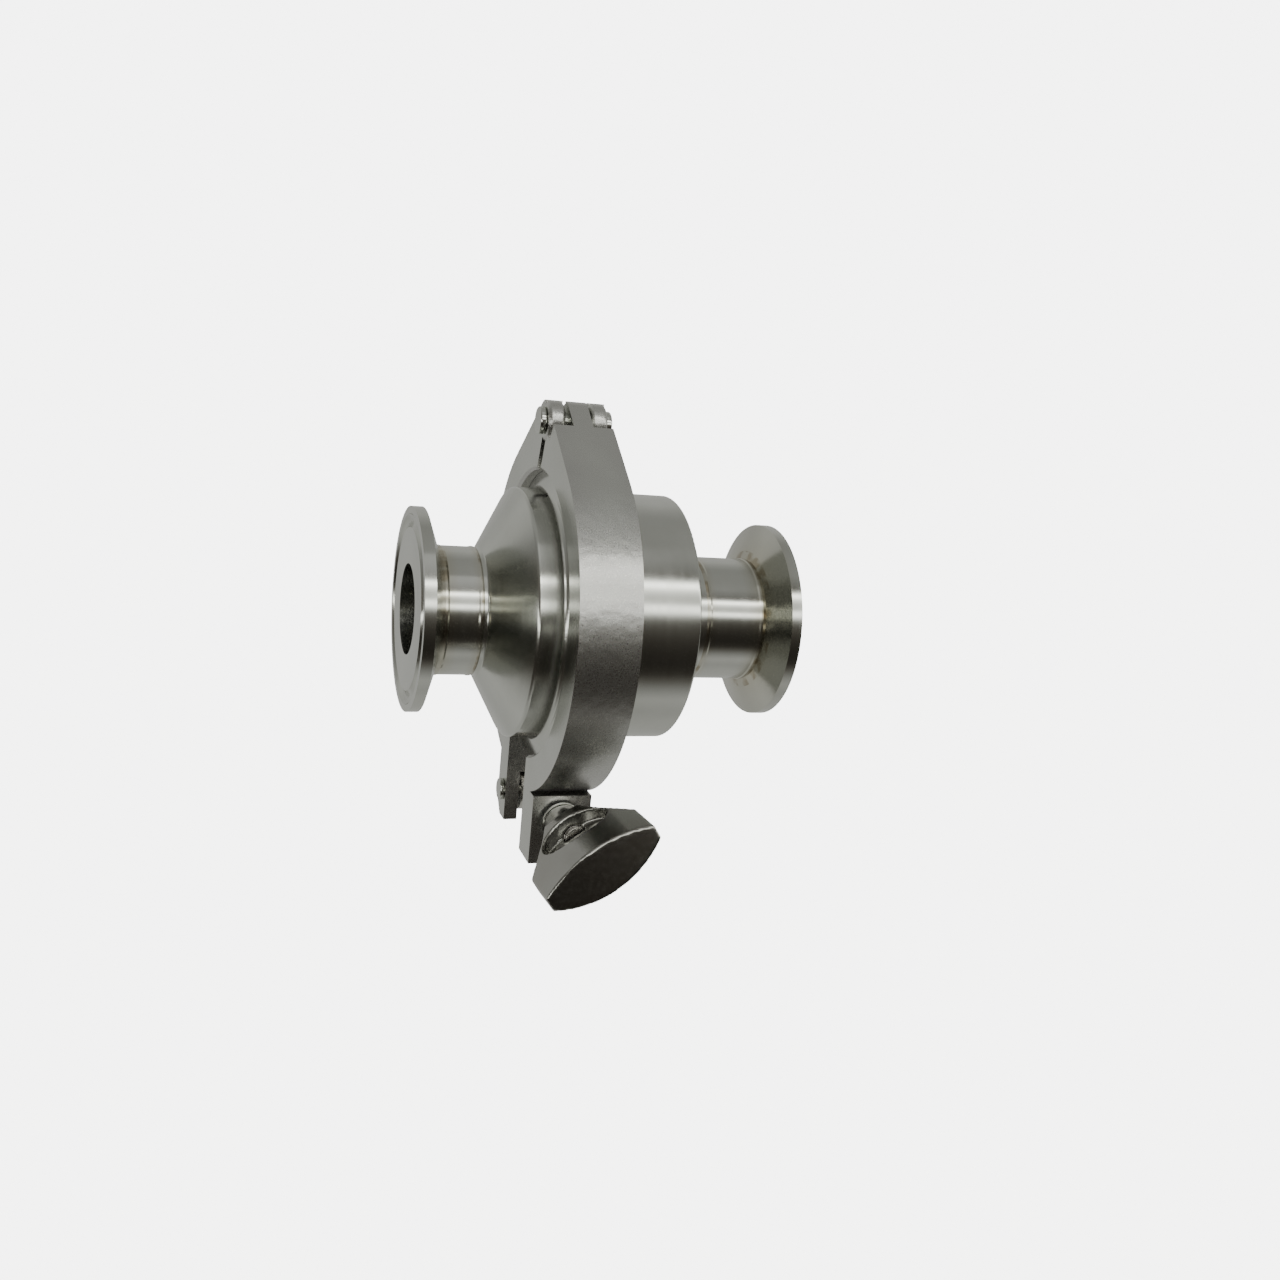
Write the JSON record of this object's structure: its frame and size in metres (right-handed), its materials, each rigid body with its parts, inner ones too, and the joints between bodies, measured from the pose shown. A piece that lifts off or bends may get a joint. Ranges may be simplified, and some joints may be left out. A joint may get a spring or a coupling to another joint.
{
  "type": "clamped in-line check valve",
  "caption": "Stainless in-line spring check valve with plain clamp-ferrule ends, a conical and a straight body half and a hinged wing-nut clamp.",
  "frame": {"origin": "centre of the inlet ferrule's face, on the pipe axis", "axes": "+X along the pipe from the inlet face to the outlet face, +Z towards the clamp's hinge, wing nut on the -Y side"},
  "size_m": [0.095, 0.1022, 0.1133],
  "materials": {
    "turned_stainless": "satin",
    "cast_stainless": "matte",
    "bright_stainless": "gloss",
    "polished_casting": "gloss",
    "spring_wire": "gloss",
    "white_elastomer": "matte",
    "black_elastomer": "matte",
    "white_plastic": "satin"
  },
  "bodies": {
    "valve_body": {"inlet_ferrule": "turned_stainless", "inlet_pipe": "turned_stainless", "inlet_body": "turned_stainless", "body_gasket": "white_elastomer", "outlet_body": "turned_stainless", "outlet_pipe": "turned_stainless", "outlet_ferrule": "turned_stainless", "guide_disc": "turned_stainless", "guide_bush": "white_plastic", "return_spring": "spring_wire", "clamp_back_half": "cast_stainless", "hinge_pin": "bright_stainless", "hinge_pin_collar": "bright_stainless", "pivot_pin": "bright_stainless", "pivot_pin_collar": "bright_stainless"},
    "poppet": {"poppet_disc": "turned_stainless", "poppet_guide_legs": "turned_stainless", "poppet_stem": "turned_stainless", "poppet_seal": "black_elastomer"},
    "front_clamp": {"clamp_front_half": "cast_stainless"},
    "bolt": {"eye_bolt": "bright_stainless"},
    "washer": {"nut_washer": "bright_stainless"},
    "nut": {"wing_nut": "polished_casting"}
  },
  "joints": [
    {"name": "poppet_slide", "type": "slide", "parent": "valve_body", "child": "poppet", "axis": [1, 0, 0], "range_m": [0, 0.008], "stiffness_N_per_m": 600, "springref_m": -0.004, "deforming": ["return_spring"]},
    {"name": "nut_spin", "type": "hinge", "parent": "washer", "child": "nut", "pos_m": [0.03822, -0.03037, -0.04813], "axis": [0, 0.9969, -0.0785], "range_deg": [0, 2880]},
    {"name": "nut_travel", "type": "slide", "parent": "bolt", "child": "washer", "axis": [0, -0.9969, 0.0785], "range_m": [0, 0.01]},
    {"name": "clamp_open", "type": "hinge", "parent": "valve_body", "child": "front_clamp", "pos_m": [0.03822, 0, 0.0482], "axis": [-1, 0, 0], "range_deg": [0, 5.3]},
    {"name": "bolt_swing", "type": "hinge", "parent": "valve_body", "child": "bolt", "pos_m": [0.03822, 0.0125, -0.0515], "axis": [1, 0, 0], "range_deg": [0, 110]}
  ],
  "couplings": [
    {"joint": "nut_spin", "follows": "nut_travel", "rad_per_m": 5026.5},
    {"joint": "clamp_open", "follows": "nut_travel", "rad_per_m": 9.2563}
  ]
}
